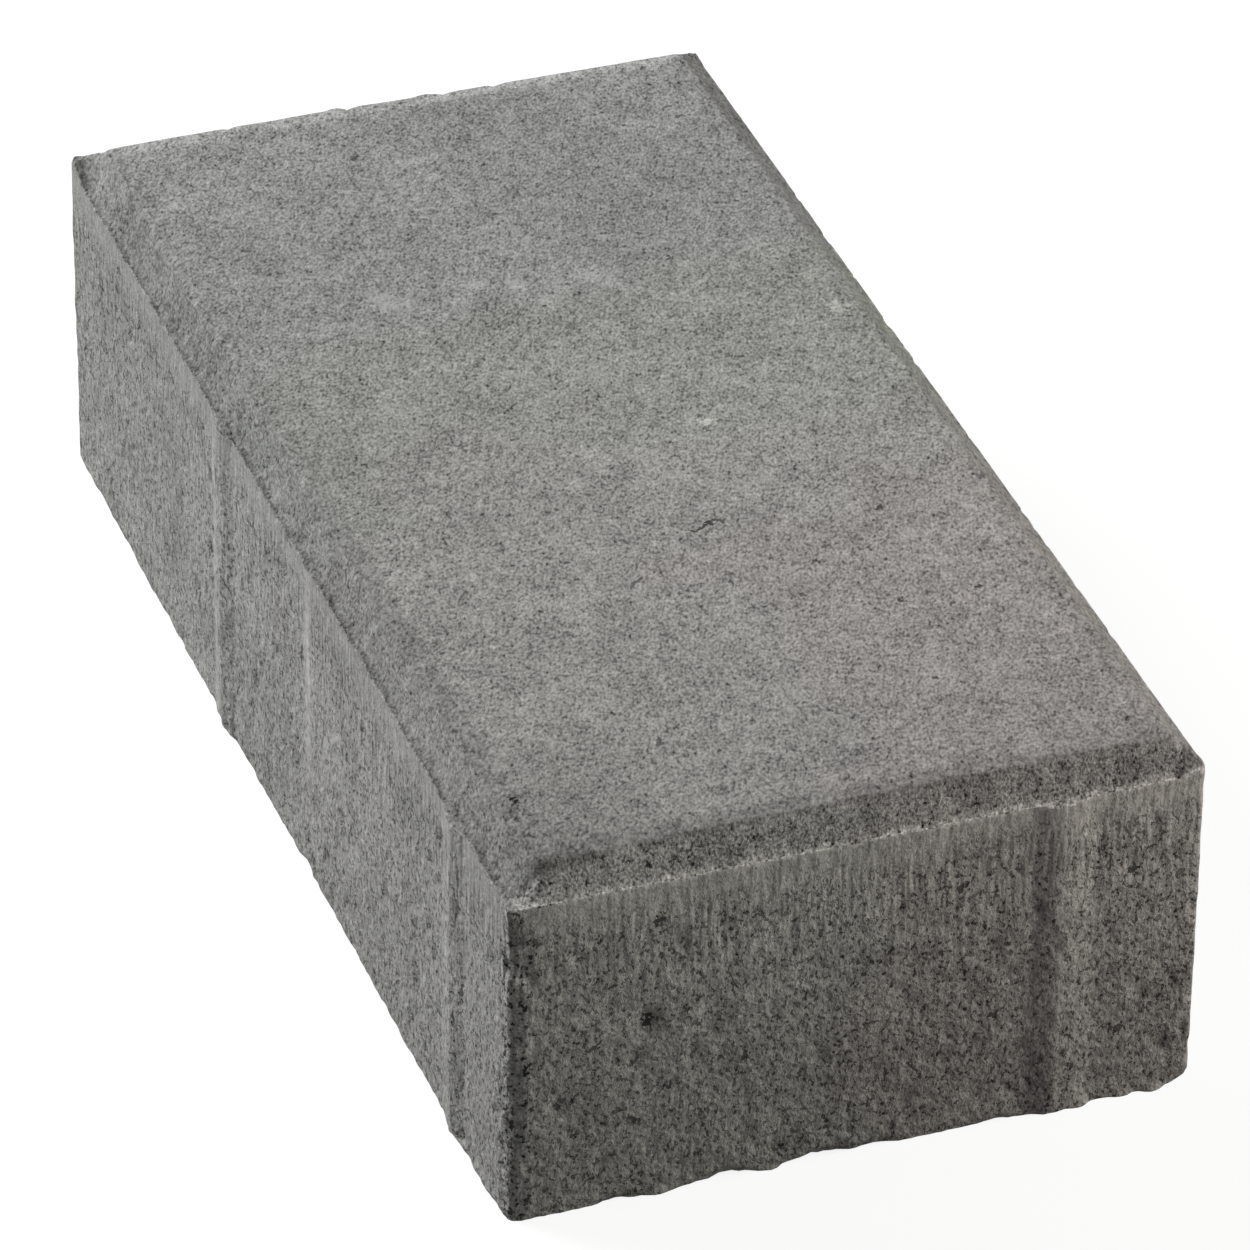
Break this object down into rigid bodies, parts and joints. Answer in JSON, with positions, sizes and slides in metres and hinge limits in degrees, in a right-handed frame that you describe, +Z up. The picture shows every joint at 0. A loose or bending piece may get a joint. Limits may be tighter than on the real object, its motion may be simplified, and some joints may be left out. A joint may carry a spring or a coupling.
{
  "type": "concrete paving stone",
  "caption": "Rectangular grey concrete paving stone with a chamfered wearing face and low upright spacer ribs on one long and one short side.",
  "frame": {"origin": "on the ground, under the middle of the stone's overall outline, ribs included", "axes": "+Z up out of the chamfered wearing face, +Y along the length, away from the ribbed short side, +X across the width, away from the ribbed long side"},
  "size_m": [0.1062, 0.2132, 0.06],
  "materials": {
    "concrete": "cast grey concrete, matt and granular, with fine pits"
  },
  "bodies": {
    "root": {"paving_stone": "concrete"}
  },
  "joints": []
}
